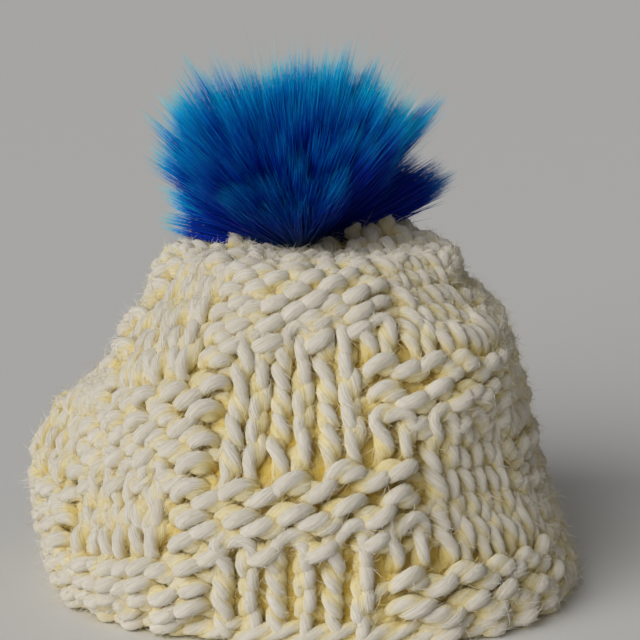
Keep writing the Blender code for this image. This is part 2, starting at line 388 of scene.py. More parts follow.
def cast_reaches():
    """How far the outer face lies from a point on the axis, for every turn and lift."""
    tree = node_tree("knit_body")
    centre = Vector((0.0, 0.0, RAY_CENTRE_HEIGHT * MM))
    reach = np.full((TURN_STEPS, len(LIFTS)), np.nan)
    for i, turn in enumerate(np.radians(TURNS)):
        for j, lift in enumerate(LIFTS):
            way = way_at(turn, lift)
            hit = tree.ray_cast(centre + way * RAY_START * MM, -way)[3]
            if hit is not None:
                reach[i, j] = RAY_START - hit / MM
    return reach


def fill_openings(reach):
    """The reaches with the spout's and handle's openings filled from beside them, and the mask of both."""
    hole = ~(reach > LEAST_REACH) & (LIFTS > LOWEST_HOLE_LIFT)
    wide = hole.copy()
    for axis in (0, 1):
        shifted = [np.roll(wide, step, axis=axis) for step in range(-HOLE_MARGIN, HOLE_MARGIN + 1)]
        wide = np.any(shifted, axis=0)
    filled = reach.copy()
    places = np.arange(TURN_STEPS)
    for j in range(len(LIFTS)):
        bad = wide[:, j]
        if bad.any() and not bad.all():
            filled[bad, j] = np.interp(places[bad], places[~bad], filled[~bad, j], period=TURN_STEPS)
    return filled, hole


def even_profiles(reach, hole):
    """For each turn, the radius, height, openness and length at even steps up the face from the hem."""
    profiles = np.empty((TURN_STEPS, 4, PROFILE_STEPS))
    for i in range(TURN_STEPS):
        radius = reach[i] * np.cos(LIFTS)
        height = RAY_CENTRE_HEIGHT + reach[i] * np.sin(LIFTS)
        keep = (height > PROFILE_START) & (reach[i] > LEAST_REACH)
        radius, height, opened = radius[keep], height[keep], hole[i][keep].astype(float)
        radius = np.concatenate([radius[:1], radius])
        height, opened = np.append(0.0, height), np.append(0.0, opened)
        length = np.append(0.0, np.cumsum(np.hypot(np.diff(radius), np.diff(height))))
        steps = np.linspace(0.0, length[-1], PROFILE_STEPS)
        for line, values in enumerate((radius, height, opened, length)):
            profiles[i, line] = np.interp(steps, length, values)
    shape = smooth_along(profiles[:, :2], SMOOTHING_TURNS, 0, True)
    profiles[:, :2] = smooth_along(shape, SMOOTHING_PROFILE, 2, False)
    return profiles


def row_heights():
    """The height of each row at each turn, blended between the columns of blocks."""
    starts, levels, tops = zip(*BLOCK_COLUMNS)
    lines = [np.interp(ROWS, (0, *level, RIM_ROW), (FIRST_HEIGHT, *top)) for level, top in zip(levels, tops)]
    heights = np.stack([np.interp(TURNS, starts, line, period=360.0) for line in zip(*lines)], axis=1)
    heights = smooth_along(heights, SMOOTHING_BLOCKS, 0, True)
    return smooth_along(heights, SMOOTHING_ROWS, 1, False)


def shift_grids(shifts):
    """For each shift, how far it moves each row at each turn."""
    grids = []
    for shift in shifts:
        amounts = along_table(shift.amounts, TURNS, period=360.0)
        grids.append(amounts[:, None] * np.exp(-(((ROWS - shift.row) / shift.spread) ** 2)))
    return grids


def rows_along(profile, heights):
    """How far up a turn's profile each row lies: by height up to the rim, then in even steps to the seat."""
    height, steps = profile[1], profile[3]
    low = ROWS <= RIM_ROW
    crest = int(np.argmax(height)) + 1
    rising = np.maximum.accumulate(height[:crest])
    at = np.empty(len(ROWS))
    at[low] = np.interp(heights[low], rising, steps[:crest])
    climb = (ROWS[~low] - RIM_ROW) / (SEAT_ROW - RIM_ROW)
    at[~low] = at[low][-1] + climb * (steps[-1] - at[low][-1])
    return at


def grid_normals(points):
    """The way out of the cloth at every point of its grid."""
    round_way = np.roll(points, -1, axis=0) - np.roll(points, 1, axis=0)
    up_way = np.gradient(points, axis=1)
    up_way[:, ROWS < UPRIGHT_ROW] = (0.0, 0.0, 1.0)
    return unit(np.cross(round_way, up_way))


Cloth = namedtuple("Cloth", "points normals opened")


def read_cloth():
    """The outer face on an even grid of turns and rows: its points, its normals and its openings."""
    profiles = even_profiles(*fill_openings(cast_reaches()))
    heights = row_heights()
    lifts, pulls = shift_grids(CLOTH_LIFTS), shift_grids(CLOTH_PULLS)
    points = np.empty((TURN_STEPS, len(ROWS), 3))
    opened = np.empty((TURN_STEPS, len(ROWS)))
    for i, turn in enumerate(np.radians(TURNS)):
        radius, height, hole, steps = profiles[i]
        at = rows_along(profiles[i], heights[i])
        r = np.interp(at, steps, radius)
        for pull in pulls:
            r -= pull[i]
        z = np.interp(at, steps, height) + np.where(ROWS <= RIM_ROW, np.minimum(heights[i], 0.0), 0.0)
        for lift in lifts:
            z += lift[i]
        points[i] = round_axis(turn, r, z)
        opened[i] = np.interp(at, steps, hole)
    return Cloth(points, grid_normals(points), opened)


cloth = read_cloth()


def read_grid(grid, turn, row):
    """A grid's values at these turns and rows, interpolated between its points."""
    i = (turn % 360.0) / 360.0 * TURN_STEPS
    j = np.clip((row - LOWEST_ROW) / ROW_STEP, 0.0, grid.shape[1] - 1.001)
    i0, j0 = np.floor(i).astype(int) % TURN_STEPS, np.floor(j).astype(int)
    i1 = (i0 + 1) % TURN_STEPS
    a, b = i - np.floor(i), j - j0
    if grid.ndim == 3:
        a, b = a[..., None], b[..., None]
    low = grid[i0, j0] * (1 - a) + grid[i1, j0] * a
    high = grid[i0, j0 + 1] * (1 - a) + grid[i1, j0 + 1] * a
    return low * (1 - b) + high * b


def on_cloth(turn, row, depth):
    """Points at these turns and rows, this far out from the cloth's face, and the face's normals there."""
    normals = unit(read_grid(cloth.normals, turn, row))
    return read_grid(cloth.points, turn, row) + normals * depth[..., None], normals


def opening_edges(row, middle):
    """Half the angle, in degrees, that an opening round this turn takes from a row, or 0."""
    steps = np.arange(0.0, WIDEST_OPENING, OPENING_STEP)
    aside, level, side = np.meshgrid(steps, OPENING_LEVELS, (-1, 1))
    inside = read_grid(cloth.opened, middle + side * aside, row + level) > 0.5
    return aside[inside].max(initial=0.0)


EDGES = {
    turn: [opening_edges(row, turn) for row in range(LAST_ROW + 1)]
    for turn in (SPOUT_TURN, HANDLE_TURN)
}


def turn_past(turn, middle):
    """How far a turn lies past another one, from -180 to 180 degrees."""
    return (turn - middle + 180.0) % 360.0 - 180.0


def clear_of_openings(turn, row, margin):
    """Whether places on the cloth lie outside both openings, by more than this many degrees."""
    clear = np.full(turn.shape, True)
    for middle, edges in EDGES.items():
        edge = np.array(edges)[np.clip(row.astype(int), 0, LAST_ROW)]
        clear &= (edge == 0) | (np.abs(turn_past(turn, middle)) > edge + margin)
    return clear


# --- the knitting ---
def half_stitches(row):
    """How many stitches each half of a row holds, the front one and the back one."""
    if row >= CROWN_ROW:
        return CROWN_HALF_STITCHES
    return UPPER_HALF_STITCHES if row >= UPPER_ROW else HALF_STITCHES


def turn_of(place, row):
    """The turn of a place counted in stitches along a row from the spout, by way of the front."""
    per_half = half_stitches(row)
    place = place % (2 * per_half)
    back = place >= per_half
    along = (place - np.where(back, 1.5, 0.5) * per_half) / (0.5 * per_half)
    turn = np.where(back, 180.0 + 90.0 * along, along_table(FRONT_PLACES, along))
    for middle, edges in EDGES.items():
        edge = edges[row]
        aside = turn_past(turn, middle)
        near = (np.abs(aside) < OPENING_SQUEEZE) & (edge > 0)
        squeezed = edge + np.abs(aside) * (OPENING_SQUEEZE - edge) / OPENING_SQUEEZE
        turn = np.where(near, middle + np.sign(aside) * squeezed, turn)
    return turn


def stitch_kind(row, column, front):
    """1 for a knit stitch and -1 for a purl: blocks of three knits between five purls, shifted each band."""
    left = front and column < -1
    if row > RIM_ROW:
        return -1.0
    if row % BAND_ROWS == BAND_ROWS - 1 and row < RIM_ROW and not left:
        return 1.0
    band = row // BAND_ROWS
    if left:
        band = int(np.searchsorted(LEFT_BLOCK_ROWS, row, side="right"))
    shift = REPEAT // 2 if band % 2 else 0
    place = (abs(column) + shift) % REPEAT
    return 1.0 if place <= 1 or place == REPEAT - 1 else -1.0


def strands_of(row):
    """The strands of a row as (first place, stitches, closed), parted where an opening cuts the row."""
    per_half = half_stitches(row)
    cut_at_spout, cut_at_handle = (edges[row] > 0 for edges in EDGES.values())
    if cut_at_spout and cut_at_handle:
        return [(0, per_half, False), (per_half, per_half, False)]
    if cut_at_handle:
        return [(per_half, 2 * per_half, False)]
    return [(0, 2 * per_half, not cut_at_spout)]


Path = namedtuple("Path", "points normals depth radius closed")


def kinds_of(row, first, count):
    """The kinds of a strand's stitches, and of those below and above them."""
    per_half = half_stitches(row)
    places = (first + np.arange(count)) % (2 * per_half)
    columns = places % per_half - (per_half - 1) // 2
    return [
        np.array([stitch_kind(level, column, place < per_half) for column, place in zip(columns, places)])
        for level in (row, max(row - 1, 0), row + 1)
    ]


def neighbours(kinds, closed):
    """The kinds of the stitches to the left and to the right of each one."""
    padded = np.pad(kinds, 1, mode="wrap" if closed else "edge")
    return padded[:-2], padded[2:]


def loop_forward(angle, knit, top, bottom):
    """How far forward the yarn of a loop lies, about -1 to 1, given how far it does at top and bottom.

    Through each stitch the angle runs from -pi to pi, with the top of the loop at 0. A knit stitch shows its
    two legs, so its yarn is forward there and back at top and bottom. A purl is the other way round.
    """
    share = np.sin(angle) ** 2
    leg = np.where(knit, 1.0, np.where(angle < 0, PURL_LEFT_LEG, -1.0))
    return leg * share + np.where(np.cos(angle) > 0, top, bottom) * (1 - share)


def loop_wave(angle, knit):
    """How high the yarn of a loop runs, from -1 at its bottom to 1 at its top."""
    return np.sign(np.cos(angle)) * np.abs(np.cos(angle)) ** np.where(knit, 1.0, PURL_FLATNESS)


def row_path(row, first, count, closed, rng):
    """The centre line of one strand of a row, its normals on the cloth, the depth that sets its painted
    shade, and its radius.
    """
    kinds, below, above = kinds_of(row, first, count)
    left, right = neighbours(kinds, closed)
    local = np.arange(count * POINTS_PER_STITCH + (0 if closed else 1)) / POINTS_PER_STITCH
    stitch = np.minimum(local.astype(int), count - 1)
    angle = 2 * math.pi * (local - stitch - 0.5)
    centres = np.arange(count) + 0.5

    def spread_out(values):
        return np.interp(local, centres, values.astype(float), period=count if closed else None)

    def uneven(measure):
        return spread_out(rng.normal(0.0, UNEVEN[measure], count))

    relief = -BLOCK_RELIEF * spread_out((below + kinds + above) / 3)
    swing = LOOP_SWING + uneven("swing")
    deep = LOOP_DEPTH * (1 + uneven("loop"))
    under_knit = (kinds < 0) & (above > 0)
    top = np.where(under_knit, JOIN_TOP, -above)[stitch]
    bottom = -(kinds[stitch] + np.where(angle < 0, left[stitch], right[stitch])) / 2
    knit = kinds[stitch] > 0
    forward = loop_forward(angle, knit, top, bottom)
    place = stitch + 0.5 + angle / (2 * math.pi) + swing * np.sin(2 * angle) + uneven("place")
    if not closed:
        place = np.clip(place, END_TUCK, count - END_TUCK)
    tall = np.where(knit, KNIT_HEIGHT, PURL_HEIGHT) * (1 + uneven("height")) * loop_wave(angle, knit)
    level = row + 0.5 + tall + LOOP_LEAN * np.sin(2 * angle) + uneven("level")
    level -= JOIN_DROP * spread_out((kinds > 0) & (below < 0)) * np.clip(-np.cos(angle), 0.0, 1.0)
    level += JOIN_RISE * spread_out(under_knit)
    shade = deep * forward - YARN_SINK
    depth = shade + uneven("depth") + relief
    thin = 1 - KNIT_THIN * (1 + spread_out(kinds)) / 2
    radius = YARN_RADIUS * thin * (1 + YARN_SWELL * forward + uneven("radius"))
    points, normals = on_cloth(turn_of(first + place, row), level, depth)
    points[:, 2] = np.maximum(points[:, 2], LOWEST_STITCH)
    return Path(points, normals, shade + RELIEF_SHADE * relief, radius, closed)


def path_frame(path):
    """At each point of a path, the length to the next one, the way out of the cloth and the way sideways."""
    points = path.points
    if path.closed:
        forward = np.roll(points, -1, axis=0) - np.roll(points, 1, axis=0)
        step = lengths_between(np.concatenate([points, points[:1]]))
    else:
        forward = np.gradient(points, axis=0)
        step = np.append(lengths_between(points), 0.0)
    forward = unit(forward)
    outward = unit(path.normals - forward * np.sum(path.normals * forward, axis=1, keepdims=True))
    return step, outward, np.cross(forward, outward)


def yarn_tube(path, rng):
    """Rings of two-ply yarn round a path: points, ways out, lifts, places among the fibres, and section."""
    step, outward, sideways = path_frame(path)
    length = step.sum()
    turns = max(1, round(length / PLY_PITCH))
    along = np.append(0.0, np.cumsum(step[:-1]))
    twist = rng.uniform(0, math.pi) - 2 * math.pi * turns * along / length
    angles = 2 * math.pi * np.arange(SECTION_POINTS) / SECTION_POINTS
    ply = 1 - PLY_OFFSET
    section = PLY_OFFSET * np.abs(np.cos(angles)) + np.sqrt(ply**2 - (PLY_OFFSET * np.sin(angles)) ** 2)
    turned = angles + twist[:, None]
    rough = rng.normal(1.0, YARN_ROUGHNESS, (len(along), SECTION_POINTS))
    size = (path.radius[:, None] * section * rough)[..., None]
    offset = np.cos(turned)[..., None] * outward[:, None] + np.sin(turned)[..., None] * sideways[:, None]
    lift = np.sum(size * offset * path.normals[:, None], axis=2)
    across_yarn = YARN_RADIUS * np.cos(angles), YARN_RADIUS * np.sin(angles)
    fibre = np.stack(np.broadcast_arrays(*across_yarn, along[:, None] / FIBRE_STRETCH), axis=-1)
    return path.points[:, None] + size * offset, offset, lift, fibre, section


def tube_faces(ring_count, sides, closed):
    """The quads of a tube of rings, and of its two ends unless it is closed."""
    here = np.arange(ring_count * sides).reshape(ring_count, sides)
    onward = np.roll(here, -1, axis=0)
    quads = np.stack([here, np.roll(here, -1, axis=1), np.roll(onward, -1, axis=1), onward], axis=-1)
    if closed:
        return quads.reshape(-1, 4)
    half = np.arange(sides // 2 - 1)
    cap = np.stack([half, sides - 1 - half, sides - 2 - half, half + 1], axis=-1)
    return np.concatenate([quads[:-1].reshape(-1, 4), cap, cap[:, ::-1] + (ring_count - 1) * sides])


Yarn = namedtuple("Yarn", "points faces depths fibres roots root_depths")


def fibre_roots(rings, offset, normals, depths, rng):
    """Where fibres stand off the outer side of a tube: points with their ways out and along, and depths."""
    length = lengths_between(rings.mean(axis=1)).sum()
    count = round(length * (FUZZ.per_mm + NAP.per_mm))
    ring = rng.integers(1, len(rings) - 1, count)
    side = rng.integers(0, rings.shape[1], count)
    outer = np.sum(offset[ring, side] * normals[ring], axis=1) > FIBRE_INWARD
    ring, side = ring[outer], side[outer]
    forward = unit(rings[ring + 1, side] - rings[ring - 1, side])
    return np.stack([rings[ring, side], offset[ring, side], forward], axis=1), depths[ring, side]


def lay_yarn(path, rng):
    """The yarn along one path, and the roots of the fibres that stand off it."""
    rings, offset, lift, fibres, section = yarn_tube(path, rng)
    # Painted shade: deeper strands, the side of the yarn that faces in, and the ply creases come out
    # yellower.
    depths = DEPTH_SHADE * path.depth[:, None] + LIFT_SHADE * lift - CREASE_SHADE * (1 - section)
    faces = tube_faces(*rings.shape[:2], path.closed)
    roots = fibre_roots(rings, offset, path.normals, depths, rng)
    return Yarn(rings.reshape(-1, 3), faces, depths.ravel(), fibres.reshape(-1, 3), *roots)


def join_yarns(yarns):
    """Several lengths of yarn as one."""
    starts = np.cumsum([0] + [len(yarn.points) for yarn in yarns[:-1]])
    yarns = [yarn._replace(faces=yarn.faces + start) for yarn, start in zip(yarns, starts)]
    return Yarn(*(np.concatenate(parts) for parts in zip(*yarns)))


def add_object(name, data):
    """A new object in the scene."""
    made = bpy.data.objects.new(name, data)
    bpy.context.scene.collection.objects.link(made)
    return made


def mesh_object(name, points, faces, material, **attributes):
    """A smooth mesh object from points in millimetres and faces, with a value or vector for each point."""
    mesh = bpy.data.meshes.new(name)
    mesh.vertices.add(len(points))
    mesh.vertices.foreach_set("co", (points * MM).astype(np.float32).ravel())
    mesh.loops.add(faces.size)
    mesh.loops.foreach_set("vertex_index", faces.astype(np.int32).ravel())
    mesh.polygons.add(len(faces))
    mesh.polygons.foreach_set("loop_start", np.arange(0, faces.size, faces.shape[1], dtype=np.int32))
    mesh.update(calc_edges=True)
    mesh.shade_smooth()
    mesh.materials.append(material)
    made = add_object(name, mesh)
    for label, values in attributes.items():
        kind, field = ("FLOAT", "value") if values.ndim == 1 else ("FLOAT_VECTOR", "vector")
        mesh.attributes.new(label, kind, "POINT").data.foreach_set(field, values.astype(np.float32).ravel())
    return made


def across(ways, rng):
    """A random unit vector across each of these directions."""
    astray = rng.normal(size=ways.shape)
    return unit(astray - ways * np.sum(astray * ways, axis=1, keepdims=True))


def ribbons(paths, widths, rng):
    """Points and triangles of flat pointed ribbons along paths (ribbon, point, xyz), turned at random."""
    count, steps = paths.shape[0], paths.shape[1] - 1
    forward = unit(np.gradient(paths, axis=1))
    side = across(forward[:, 0], rng)[:, None]
    side = unit(side - forward * np.sum(side * forward, axis=2, keepdims=True))[:, :-1]
    half = widths[:, :-1, None] / 2
    rails = np.stack([paths[:, :-1] - side * half, paths[:, :-1] + side * half], axis=2)
    points = np.concatenate([rails.reshape(count, -1, 3), paths[:, -1:]], axis=1)
    low = 2 * np.arange(steps - 1)
    pattern = np.concatenate([
        np.stack([low, low + 1, low + 3], axis=1),
        np.stack([low, low + 3, low + 2], axis=1),
        [[2 * steps - 2, 2 * steps - 1, 2 * steps]],
    ])
    triangles = pattern[None] + (np.arange(count) * (2 * steps + 1))[:, None, None]
    return points.reshape(-1, 3), triangles.reshape(-1, 3)


def on_rails(values):
    """Values given at the points of each path, repeated for the points of its ribbon."""
    return np.concatenate([np.repeat(values[:, :-1], 2, axis=1), values[:, -1:]], axis=1).ravel()


def set_inputs(node, values):
    """Sets a node's inputs by their names."""
    for name, value in values.items():
        node.inputs[name].default_value = value


def link(source, output, target, name):
    """Links an output of one node to an input of another."""
    source.id_data.links.new(source.outputs[output], target.inputs[name])


def attribute_node(nodes, name):
    """A node that reads an attribute of the mesh."""
    node = nodes.new("ShaderNodeAttribute")
    node.attribute_name = name
    return node


def ramp_node(nodes, stops):
    """A colour ramp with these (place, colour) stops."""
    node = nodes.new("ShaderNodeValToRGB")
    elements = node.color_ramp.elements
    while len(elements) < len(stops):
        elements.new(0.5)
    for element, (place, colour) in zip(elements, stops):
        element.position = place
        element.color = (*colour, 1.0)
    return node


def mix_node(nodes, blend):
    """A node that blends two colours."""
    node = nodes.new("ShaderNodeMix")
    node.data_type = "RGBA"
    node.blend_type = blend
    return node


def plain_material(name, colour, roughness):
    """A material of one colour, for others to build on."""
    material = bpy.data.materials.new(name)
    material.use_nodes = True
    shader = material.node_tree.nodes["Principled BSDF"]
    set_inputs(shader, {"Base Color": (*colour, 1.0), "Roughness": roughness})
    return material


def colour_and_shade_by_depth(nodes):
    """A node that colours by depth, with painted warm shade: ochre down in the gaps, cream on the sides, and
    the wool's own pale colour on the crests.
    """
    spread = nodes.new("ShaderNodeMapRange")
    set_inputs(spread, {"From Min": DEPTH_RANGE[0], "From Max": DEPTH_RANGE[1]})
    ramp = ramp_node(nodes, WOOL_AND_SHADE_COLOURS)
    link(attribute_node(nodes, "depth"), "Fac", spread, "Value")
    link(spread, "Result", ramp, "Fac")
    return ramp


def wool_material():
    """Cream wool with fine fibres along its plies, coloured with painted warm shade by depth."""
    material = plain_material("cream wool", (0.8, 0.7, 0.5), 0.9)
    nodes = material.node_tree.nodes
    shader = nodes["Principled BSDF"]
    fibres = nodes.new("ShaderNodeTexNoise")
    set_inputs(fibres, {"Scale": 1.7, "Detail": 5.0, "Roughness": 0.7})
    streaks = ramp_node(nodes, WOOL_STREAKS)
    tint = mix_node(nodes, "MULTIPLY")
    set_inputs(tint, {"Factor": 0.8})
    bump = nodes.new("ShaderNodeBump")
    set_inputs(bump, {"Strength": 0.6, "Distance": 0.0018})
    link(attribute_node(nodes, "fibre"), "Vector", fibres, "Vector")
    link(fibres, "Fac", streaks, "Fac")
    link(colour_and_shade_by_depth(nodes), "Color", tint, "A")
    link(streaks, "Color", tint, "B")
    link(tint, "Result", shader, "Base Color")
    link(fibres, "Fac", bump, "Height")
    link(bump, "Normal", shader, "Normal")
    set_inputs(shader, {
        "Diffuse Roughness": 0.8,
        "Sheen Weight": 0.9,
        "Sheen Roughness": 0.4,
        "Sheen Tint": (1.0, 0.93, 0.76, 1.0),
    })
    return material


def fuzz_material():
    """The fine fibres that stand off the wool, coloured as it is, painted shade included."""
    material = plain_material("wool fuzz", (0.86, 0.8, 0.66), 0.9)
    nodes = material.node_tree.nodes
    link(colour_and_shade_by_depth(nodes), "Color", nodes["Principled BSDF"], "Base Color")
    set_inputs(nodes["Principled BSDF"], {"Specular IOR Level": 0.2})
    return material


def fibre_paths(roots, fibres, rng):
    """Paths of fibres that leave the yarn at their roots and lie along it."""
    start, out, along = roots[:, 0], roots[:, 1], roots[:, 2]
    count = len(roots)
    length = rng.uniform(*fibres.length, (count, 1)) * np.where(rng.random((count, 1)) < 0.5, -1.0, 1.0)
    lift = rng.uniform(*fibres.lift, (count, 1))
    aside = np.cross(out, along) * rng.normal(0.0, FIBRE_WANDER, (count, 1))
    paths = []
    for share in np.linspace(0.0, 1.0, fibres.points):
        rise = lift * math.sin(0.5 * math.pi * share) - FIBRE_ROOT * (1 - share)
        paths.append(start + out * rise + along * length * share + aside * share**1.5)
    paths = np.stack(paths, axis=1)
    paths[..., 2] = np.maximum(paths[..., 2], FIBRE_LOWEST)
    return paths


def fibre_mesh(name, depths, paths, width, material, rng):
    """Fibres as one mesh of tapered ribbons, each given the painted shade of the depth at its root."""
    taper = np.linspace(1.0, FIBRE_TAPER, paths.shape[1]) * width
    points, triangles = ribbons(paths, np.broadcast_to(taper, paths.shape[:2]), rng)
    shades = (depths + rng.normal(0.0, FIBRE_SHADE, len(depths)))[:, None]
    depth = on_rails(np.broadcast_to(shades, paths.shape[:2]))
    return mesh_object(name, points, triangles, material, depth=depth)


def fuzz_meshes(name, roots, depths, material, rng):
    """The long loose fibres and the short nap that stand on these roots."""
    long = rng.random(len(roots)) < FUZZ.per_mm / (FUZZ.per_mm + NAP.per_mm)
    fuzz, nap = fibre_paths(roots[long], FUZZ, rng), fibre_paths(roots[~long], NAP, rng)
    return [
        fibre_mesh(name + "_fuzz", depths[long], fuzz, FUZZ.width, material, rng),
        fibre_mesh(name + "_nap", depths[~long], nap, NAP.width, material, rng),
    ]


def cast_on_path(phase):
    """One of the two strands that wind round each other along the hem, a half turn to each stitch."""
    count = 2 * HALF_STITCHES
    place = np.arange(count * CAST_ON_POINTS) / CAST_ON_POINTS
    angle = math.pi * place + phase
    depth = CAST_ON_DEPTH + CAST_ON_SWING[0] * np.cos(angle)
    points, normals = on_cloth(turn_of(place, 0), np.zeros(len(place)), depth)
    points[:, 2] = np.maximum(CAST_ON_HEIGHT + CAST_ON_SWING[1] * np.sin(angle), YARN_RADIUS)
    return Path(points, normals, depth, np.full(len(place), CAST_ON_RADIUS), True)


def rim_path(middle):
    """The strand along the edge of the opening round this turn: up one side, and down the other."""
    edges = EDGES[middle]
    rows = [row for row, edge in enumerate(edges) if edge > 0]
    low, high = rows[0], rows[-1]
    level = np.array([low + RIM_ENDS[0], *(row + 0.5 for row in rows), high + RIM_ENDS[1]])
    ends = edges[low] * RIM_END_SHARE, edges[high] * RIM_END_SHARE
    aside = np.array([ends[0], *(edges[row] for row in rows), ends[1]])
    turns = middle + np.concatenate([aside, -aside[::-1], aside[:1]])
    levels = np.concatenate([level, level[::-1], level[:1]])
    corners, _ = on_cloth(turns, levels, np.zeros(len(turns)))
    length = np.append(0.0, np.cumsum(lengths_between(corners)))
    steps = np.linspace(0.0, length[-1], round(length[-1] / RIM_STEP), endpoint=False)
    turns = smooth_along(np.interp(steps, length, turns), RIM_SMOOTHING, 0, True)
    levels = smooth_along(np.interp(steps, length, levels), RIM_SMOOTHING, 0, True)
    lumps = max(1, round(length[-1] / ROW_HEIGHT))
    depth = RIM_DEPTH + RIM_SWING * np.sin(2 * math.pi * lumps * steps / length[-1])
    points, normals = on_cloth(turns, levels, depth)
    return Path(points, normals, depth, np.full(len(steps), RIM_RADIUS), True)


def make_band(name, paths, materials, rng):
    """The yarn along some paths as one piece, and its fuzz."""
    yarn = join_yarns([lay_yarn(path, rng) for path in paths])
    made = mesh_object(name, yarn.points, yarn.faces, materials[0], depth=yarn.depths, fibre=yarn.fibres)
    return [made] + fuzz_meshes(name, yarn.roots, yarn.root_depths, materials[1], rng)


def make_knitting(wool):
    """The yarn of the rows in bands, the cast-on edge, the edges of the openings, and the fuzz on each."""
    materials = wool, fuzz_material()
    rng = np.random.default_rng(KNIT_SEED)
    made = []
    for band, name in enumerate(BANDS):
        rows = range(band * BAND_ROWS, min((band + 1) * BAND_ROWS, LAST_ROW + 1))
        paths = (row_path(row, *strand, rng) for row in rows for strand in strands_of(row))
        made += make_band(name, paths, materials, rng)
    edges = [cast_on_path(phase) for phase in (0.0, math.pi)] + [rim_path(middle) for middle in EDGES]
    return made + make_band("edging", edges, materials, rng)


def grid_quads(columns, rows):
    """The quads of a grid of points that closes on itself round its columns, as (column, row, corner)."""
    here = np.arange(columns * rows).reshape(columns, rows)
    after = np.roll(here, -1, axis=0)
    return np.stack([here[:, :-1], after[:, :-1], after[:, 1:], here[:, 1:]], axis=-1)


def close_sheet(quads, back):
    """A sheet's quads, those of its back face, numbered this much higher, and the walls round its rims."""
    edges = np.concatenate([np.stack([quads[:, k], quads[:, (k + 1) % 4]], axis=-1) for k in range(4)])
    held = {tuple(edge) for edge in edges}
    rims = np.array([edge for edge in held if edge[::-1] not in held])
    walls = np.stack([rims[:, 1], rims[:, 0], rims[:, 0] + back, rims[:, 1] + back], axis=-1)
    return np.concatenate([quads, quads[:, ::-1] + back, walls])


def make_ground(wool):
    """The cloth behind the stitches: a closed sheet between two faces, open at the spout and the handle."""
    turns = np.arange(GROUND_TURNS) * 360.0 / GROUND_TURNS
    rows = np.arange(GROUND_FIRST_ROW, SEAT_ROW, GROUND_ROW_STEP)
    turn, row = np.meshgrid(turns, rows, indexing="ij")
    wave = GROUND_WAVE * np.cos(2 * math.pi * row) * np.cos(math.radians(2 * HALF_STITCHES) * turn)
    faces = []
    for sink in (GROUND_SINK, GROUND_SINK + GROUND_THICKNESS):
        points, _ = on_cloth(turn, row, wave - sink)
        points[..., 2] = np.maximum(points[..., 2], GROUND_LOWEST)
        faces.append(points.reshape(-1, 3))
    kept = read_grid(cloth.opened, turn, row) < GROUND_OPEN_SHARE
    kept &= clear_of_openings(turn + 180.0 / GROUND_TURNS, row + GROUND_ROW_STEP / 2, OPENING_MARGIN)
    quads = close_sheet(grid_quads(GROUND_TURNS, len(rows))[kept[:, :-1]], turn.size)
    used, quads = np.unique(quads, return_inverse=True)
    points = np.concatenate(faces)[used]
    # The ground's depth sets its painted shade, ochre between the stitches.
    depth = np.tile((GROUND_WAVE_SHADE * wave - GROUND_SINK).ravel(), 2)[used]
    return mesh_object("ground", points, quads.reshape(-1, 4), wool, depth=depth, fibre=points)


def make_ground_fuzz():
    """Loose fibres that lie across the cloth behind the stitches."""
    rng = np.random.default_rng(GROUND_SEED)
    turn = rng.uniform(0.0, 360.0, GROUND_FIBRES)
    row = rng.uniform(*GROUND_FIBRE_ROWS, GROUND_FIBRES)
    keep = read_grid(cloth.opened, turn, row) < GROUND_FIBRE_OPEN_SHARE
    keep &= clear_of_openings(turn, row, GROUND_FIBRE_MARGIN)
    turn, row = turn[keep], row[keep]
    # Their depth sets both where they lie and their painted ochre shade.
    depth = np.full(len(turn), -GROUND_SINK)
    points, normals = on_cloth(turn, row, depth + GROUND_WAVE)
    roots = np.stack([points, normals, across(normals, rng)], axis=1)
    paths = fibre_paths(roots, FUZZ, rng)
    return fibre_mesh("ground_fuzz", depth, paths, GROUND_FIBRE_WIDTH, fuzz_material(), rng)


wool = wool_material()
knitting = make_knitting(wool)
knitting.append(make_ground_fuzz())
ground = make_ground(wool)
for piece in knitting + [ground]:
    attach(piece, "root")
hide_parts("knit_body")


# --- the fur ---
def fur_root():
    """The middle of the pompom's flat foot, in millimetres."""
    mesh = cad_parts["pompom"].data
    points = np.array([vertex.co[:] for vertex in mesh.vertices]) / MM
    foot = points[points[:, 2] < points[:, 2].min() + FOOT_DEPTH]
    return (foot.min(axis=0) + foot.max(axis=0)) / 2


def fur_reaches(directions):
    """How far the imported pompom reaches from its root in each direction."""
    tree = node_tree("pompom")
    start = Vector(fur_root() * MM) + Vector((0.0, 0.0, ROOT_LIFT * MM))
    hits = [tree.ray_cast(start, Vector(way))[3] for way in directions]
    return np.array([0.0 if hit is None else hit / MM for hit in hits])


def dome_ways(count, rng):
    """Even directions over the dome, each a little astray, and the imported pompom's reach in them."""
    steps = np.arange(count) + 0.5
    height = 1 - (1 - math.sin(math.radians(LOWEST_LIFT))) * steps / count
    around = steps * math.pi * (3 - math.sqrt(5))
    ways = round_axis(around, np.sqrt(1 - height**2), height)
    ways = unit(ways + rng.normal(0.0, WAY_WANDER, ways.shape))
    turns = np.degrees(np.arctan2(ways[:, 0], -ways[:, 1]))
    lowest = along_table(FUR_EDGES, turns, period=360.0)
    ways = ways[np.degrees(np.arcsin(ways[:, 2])) > lowest]
    reach = fur_reaches(ways)
    far = reach > LEAST_FUR_REACH
    return ways[far], reach[far]


def hair_mesh(name, hairs, material, rng):
    """Hairs as one mesh of tapered ribbons, with the attributes that colour them."""
    points, triangles = ribbons(hairs.paths, hairs.widths, rng)
    tone = on_rails(np.broadcast_to(hairs.tones[:, None], hairs.shares.shape))
    return mesh_object(name, points, triangles, material, share=on_rails(hairs.shares), tone=tone)


Hairs = namedtuple("Hairs", "paths widths shares tones")
Clumps = namedtuple("Clumps", "ways reaches spreads tones counts")


